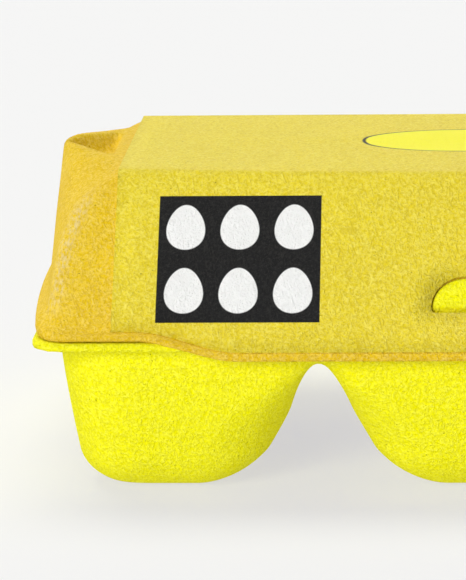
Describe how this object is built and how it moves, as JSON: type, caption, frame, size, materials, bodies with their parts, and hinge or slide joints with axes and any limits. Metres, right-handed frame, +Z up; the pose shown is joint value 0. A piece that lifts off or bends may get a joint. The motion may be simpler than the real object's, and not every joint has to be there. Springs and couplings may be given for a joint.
{
  "type": "egg carton",
  "caption": "Moulded pulp egg carton with deep cups, a hinged lid with a wrapped card label, and a press-in lock flap with a half-moon button.",
  "frame": {"origin": "middle of the carton's footprint, on the surface it stands on", "axes": "+X along the carton to its right end, +Y to the back where the lid is hinged, -Y the front with the lock, +Z up"},
  "size_m": [0.1632, 0.1176, 0.06],
  "materials": {
    "tray_pulp": "matt dyed moulded pulp, fine fibre grain",
    "lid_pulp": "matt dyed moulded pulp, fine fibre grain",
    "label_card": "printed uncoated card"
  },
  "bodies": {
    "tray": {"cup_back_left": "tray_pulp", "cup_back_middle": "tray_pulp", "cup_back_right": "tray_pulp", "cup_front_left": "tray_pulp", "cup_front_middle": "tray_pulp", "cup_front_right": "tray_pulp", "post_left": "tray_pulp", "post_right": "tray_pulp", "tray_deck": "tray_pulp", "tray_rim": "tray_pulp", "flap_crease": "tray_pulp", "rear_hinge": "lid_pulp"},
    "lid": {"lid_back": "lid_pulp", "lid_end_left": "lid_pulp", "lid_end_right": "lid_pulp", "lid_front": "lid_pulp", "lid_lip": "lid_pulp", "lid_rim": "lid_pulp", "lid_top": "lid_pulp", "label": "label_card"},
    "lock": {"lock_flap": "tray_pulp", "lock_button": "tray_pulp"}
  },
  "joints": [
    {"name": "lid_hinge", "type": "hinge", "parent": "tray", "child": "lid", "pos_m": [0, 0.0581, 0.03207], "axis": [-1, 0, 0], "range_deg": [0, 170], "deforming": ["rear_hinge"]},
    {"name": "lock_crease", "type": "hinge", "parent": "tray", "child": "lock", "pos_m": [0, -0.0548, 0.03035], "axis": [-1, 0, 0], "range_deg": [0, 12], "stiffness_Nm_per_rad": 0.02, "deforming": ["flap_crease"]}
  ]
}
